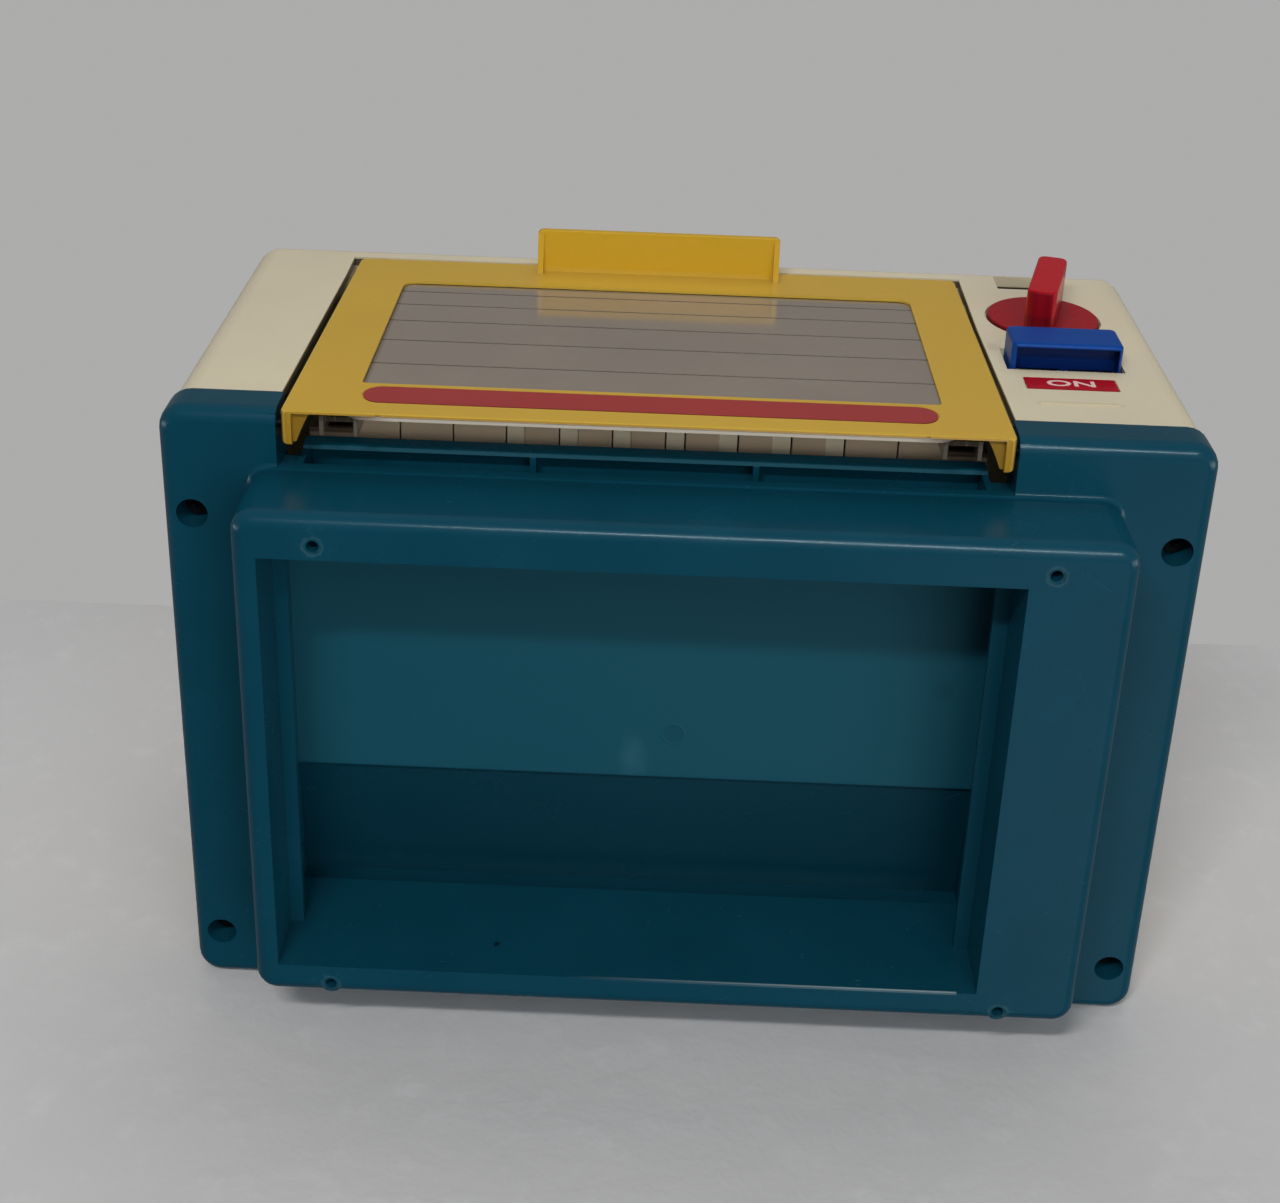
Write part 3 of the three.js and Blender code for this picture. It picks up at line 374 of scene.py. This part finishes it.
def red():
    f = Face("red plastic", srgb(156, 11, 26), rough=0.26, mottle=0.05, specks=0.2, spec=0.2, scratch=0.8)
    m = f.m
    # the blade is a little brighter than the disc, whose rim has a dark line of painted shade
    f.paint(m.math("MULTIPLY", f.within("Y", -0.12, -0.099, 0.0003), 0.7), srgb(196, 15, 32))
    d = f.distance((0.1153, 0, 0.125), (1, 0, 1))
    f.paint(m.math("MULTIPLY", m.ramp(d, 0.0173, 0.018), 0.7), srgb(66, 8, 14))
    return f.done()


M["teal"] = teal()
M["cream"] = cream()
M["yellow"] = yellow()
M["liner"] = liner()
M["red"] = red()
M["blue"] = blue()
M["white"] = plastic("acetal", srgb(214, 210, 198), rough=0.45, mottle=0.02)
M["banner"] = plastic("banner film", srgb(160, 52, 52), rough=0.38, mottle=0.05, grain=0.5, wave=0.3)
M["label"] = plastic("label film", srgb(172, 16, 34), rough=0.32, mottle=0.04, grain=0.5, wave=0.3, spec=0.4)
M["ink"] = plastic("cream ink", srgb(236, 205, 200), rough=0.4, mottle=0.03, grain=0.5, wave=0.0)
M["pane"] = pane()
M["clear"] = clear()


def steel_material():
    m = Mat("zinc plated steel", rough=0.32, metal=1.0)
    slow = m.noise(300, 4, 0.6)
    m.link(m.mix(m.ramp(slow, 0.3, 0.7), srgb(150, 152, 152), srgb(196, 196, 190)), "Base Color")
    m.link(m.ramp(m.noise(900, 3, 0.5), 0.3, 0.7, 0.24, 0.42), "Roughness")
    m.link(m.bump(m.noise(1800, 2, 0.5), 0.00002, 0.5), "Normal")
    return m.m


M["steel"] = steel_material()
M["black"] = plastic("blackened steel", srgb(20, 20, 22), rough=0.45, metal=0.6, scratch=0.3)

SLOT = {
    "teal": ["base_tray"],
    "cream": ["housing_shell"],
    "liner": ["oven_liner"],
    "yellow": ["door_frame"],
    "pane": ["window_pane"],
    "clear": ["pane_clip_left", "pane_clip_right"],
    "banner": ["door_banner"],
    "red": ["knob"],
    "blue": ["button_cap"],
    "label": ["label_plate"],
    "white": ["ratchet_wheel", "mechanism_bracket"],
}
named = {n for ns in SLOT.values() for n in ns}
SLOT["black"] = [n for n in NODES if n.startswith(("base_screw", "hinge_pin"))]
SLOT["steel"] = [n for n in NODES if n not in named and n not in SLOT["black"]]


def dress(o, material, width, angle=38, segments=2):
    """Gives a carried-over node its material, soft edges and clean shading."""
    me = o.data
    a = me.attributes.get("custom_normal")
    if a:
        me.attributes.remove(a)
    me.materials.clear()
    me.materials.append(material)
    me.shade_smooth()
    w = o.modifiers.new("weld", "WELD")
    w.merge_threshold = 2e-6
    d = o.modifiers.new("flats", "DECIMATE")
    d.decimate_type = "DISSOLVE"
    d.angle_limit = math.radians(0.6)
    if width:
        b = o.modifiers.new("edges", "BEVEL")
        b.width = width
        b.segments = segments
        b.limit_method = "ANGLE"
        b.angle_limit = math.radians(angle)
        b.use_clamp_overlap = True
        b.harden_normals = False
    n = o.modifiers.new("shade", "WEIGHTED_NORMAL")
    n.weight = 60
    n.keep_sharp = True


WIDTHS = {"base_tray": 0.0004, "housing_shell": 0.0004, "door_frame": 0.0003, "oven_liner": 0.00025, "button_cap": 0.00025, "knob": 0.0003,
          "window_pane": 0.0002, "door_banner": 0.0, "label_plate": 0.0, "button_spring": 0.0}
for key, names in SLOT.items():
    for n in names:
        dress(NODES[n], M[key], WIDTHS.get(n, 0.00015))

# ------------------------------------------------------------------ label lettering
def lettering(name, text, size, x, z, y, stretch, body, material):
    cu = bpy.data.curves.new(name, "FONT")
    cu.body = text
    cu.size = size
    cu.align_x, cu.align_y = "CENTER", "CENTER"
    cu.offset = size * 0.018
    cu.extrude = 0.00006
    cu.resolution_u = 4
    tmp = bpy.data.objects.new(name + "_outline", cu)
    SC.collection.objects.link(tmp)
    bpy.context.view_layer.update()
    me = bpy.data.meshes.new_from_object(tmp.evaluated_get(bpy.context.evaluated_depsgraph_get()))
    bpy.data.objects.remove(tmp)
    me.transform(Matrix.Translation((x, y, z)) @ Matrix.Rotation(math.radians(90), 4, "X") @ Matrix.Diagonal((stretch, 1, 1, 1)))
    me.name = name
    o = bpy.data.objects.new(name, me)
    SC.collection.objects.link(o)
    me.materials.clear()
    me.materials.append(material)
    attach(o, body)
    return o


lettering("label_lettering", "ON", 0.0056, 0.11485, 0.0712, -0.09191, 1.7, "case", M["ink"])

# ------------------------------------------------------------------ stage
def stage_plane(name, corners, material):
    me = bpy.data.meshes.new(name)
    me.from_pydata([tuple(c) for c in corners], [], [(0, 1, 2, 3)])
    o = bpy.data.objects.new(name, me)
    SC.collection.objects.link(o)
    me.materials.append(material)
    o.visible_shadow = o.visible_diffuse = o.visible_glossy = o.visible_transmission = False
    return o


def one_sided(name, color, variation, spots):
    m = Mat(name, rough=0.9, spec=0.1)
    n1 = m.noise(7, 4, 0.6)
    n2 = m.noise(90, 3, 0.6)
    c = m.mix(m.ramp(n1, 0.3, 0.7), tint(color, 1 - variation), tint(color, 1 + variation))
    c = m.mix(m.ramp(n2, 0.55, 0.75, 0, spots), c, tint(color, 1.12))
    m.link(c, "Base Color")
    m.link(m.bump(n2, 0.002, 0.25), "Normal")
    out = m.t.nodes["Material Output"]
    clear = m.t.nodes.new("ShaderNodeBsdfTransparent")
    mixer = m.t.nodes.new("ShaderNodeMixShader")
    geo = m.t.nodes.new("ShaderNodeNewGeometry")
    m.t.links.new(geo.outputs["Backfacing"], mixer.inputs[0])
    m.t.links.new(m.b.outputs[0], mixer.inputs[1])
    m.t.links.new(clear.outputs[0], mixer.inputs[2])
    m.t.links.new(mixer.outputs[0], out.inputs["Surface"])
    return m.m


ground = one_sided("pale ground", srgb(206, 206, 208), 0.03, 0.5)
YB = 0.1087
# the surface behind the toy, facing the front; its far edge is the join seen above the toy's left and right
stage_plane("back_ground", [(-1.6, YB, -1.4), (1.6, YB, -1.4), (1.6, YB, 0.2695), (-1.6, YB, 0.2495)], ground)
stage_plane("floor", [(-1.6, -1.6, 0.0), (1.6, -1.6, 0.0), (1.6, 1.6, 0.0), (-1.6, 1.6, 0.0)], ground)

# ------------------------------------------------------------------ light
def area(name, at, toward, size_x, size_y, power, color=(1, 1, 1), glossy=True):
    d = bpy.data.lights.new(name, "AREA")
    d.shape = "RECTANGLE"
    d.size, d.size_y = size_x, size_y
    d.energy = power
    d.color = color
    o = bpy.data.objects.new(name, d)
    SC.collection.objects.link(o)
    o.location = at
    o.rotation_mode = "QUATERNION"
    o.rotation_quaternion = (Vector(toward) - Vector(at)).to_track_quat("-Z", "Y")
    o.visible_glossy = glossy
    return o


# a long lamp overhead, which gives the edges of the shadows
area("key", (-0.27, -1.04, -0.87), (0, 0, 0.05), 0.42, 0.05, 8.0, (1.0, 0.985, 0.96), glossy=False)
# the broad light that falls on the underside
area("window", (0.5, -0.55, -1.3), (0, 0, 0.05), 1.3, 1.0, 9.3, (1.0, 0.99, 0.975), glossy=False)
area("top", (0.1, 0.1, 1.6), (0, 0, 0.1), 1.4, 1.4, 10, glossy=False)
# a thin lamp that only shows as bright lines along the rounded lower edges
strip = area("strip", (0.17, -0.87, -0.95), (0.03, -0.07, 0.0), 0.72, 0.03, 6.5, (0.72, 0.93, 1.0))
strip.visible_diffuse = False
# a soft light from the right that reaches the underside only, and its faint sheen
area("under", (0.55, 0.7, -1.0), (0.05, 0, 0.03), 0.9, 0.9, 2.6, (0.9, 0.97, 1.0), glossy=False)
sheen = area("sheen", (0.62, 0.8, -1.1), (0.1, 0, 0.03), 0.7, 0.7, 0.5, (0.9, 0.97, 1.0))
sheen.visible_diffuse = False
area("left", (-1.4, 0.1, -0.25), (0, 0, 0.02), 0.16, 1.0, 2.2, (0.8, 0.95, 1.0))
area("right", (1.4, 0.1, -0.35), (0, 0, 0.02), 0.3, 1.0, 3.2, (0.85, 0.96, 1.0))
# broad light on the front, which doesn't show as a reflection
area("front", (0.1, -1.7, 0.7), (0, 0, 0.08), 1.6, 1.0, 7.6, (1.0, 0.99, 0.975), glossy=False)

# broad light on the back, which the photograph's view doesn't show
area("rear", (-0.4, 1.7, 0.9), (0, 0, 0.08), 1.5, 1.0, 12.0, (1.0, 0.99, 0.975), glossy=False)

world = bpy.data.worlds.new("studio")
SC.world = world
world.use_nodes = True
wt = world.node_tree
bg = wt.nodes["Background"]
tc = wt.nodes.new("ShaderNodeTexCoord")
dot = wt.nodes.new("ShaderNodeVectorMath")
dot.operation = "DOT_PRODUCT"
dot.inputs[1].default_value = (0.0, -0.45, 0.89)
wt.links.new(tc.outputs["Generated"], dot.inputs[0])
mr = wt.nodes.new("ShaderNodeMapRange")
mr.interpolation_type = "SMOOTHSTEP"
for k, v in (("From Min", -0.75), ("From Max", 0.15), ("To Min", 0.055), ("To Max", 0.17)):
    mr.inputs[k].default_value = v
wt.links.new(dot.outputs["Value"], mr.inputs["Value"])
# what the camera sees behind the stage is an even pale grey
seen = wt.nodes.new("ShaderNodeLightPath")
pick = wt.nodes.new("ShaderNodeMix")
wt.links.new(seen.outputs["Is Camera Ray"], pick.inputs["Factor"])
wt.links.new(mr.outputs["Result"], pick.inputs["A"])
pick.inputs["B"].default_value = 0.42
wt.links.new(pick.outputs["Result"], bg.inputs["Strength"])
bg.inputs["Color"].default_value = (1.0, 0.99, 0.985, 1)
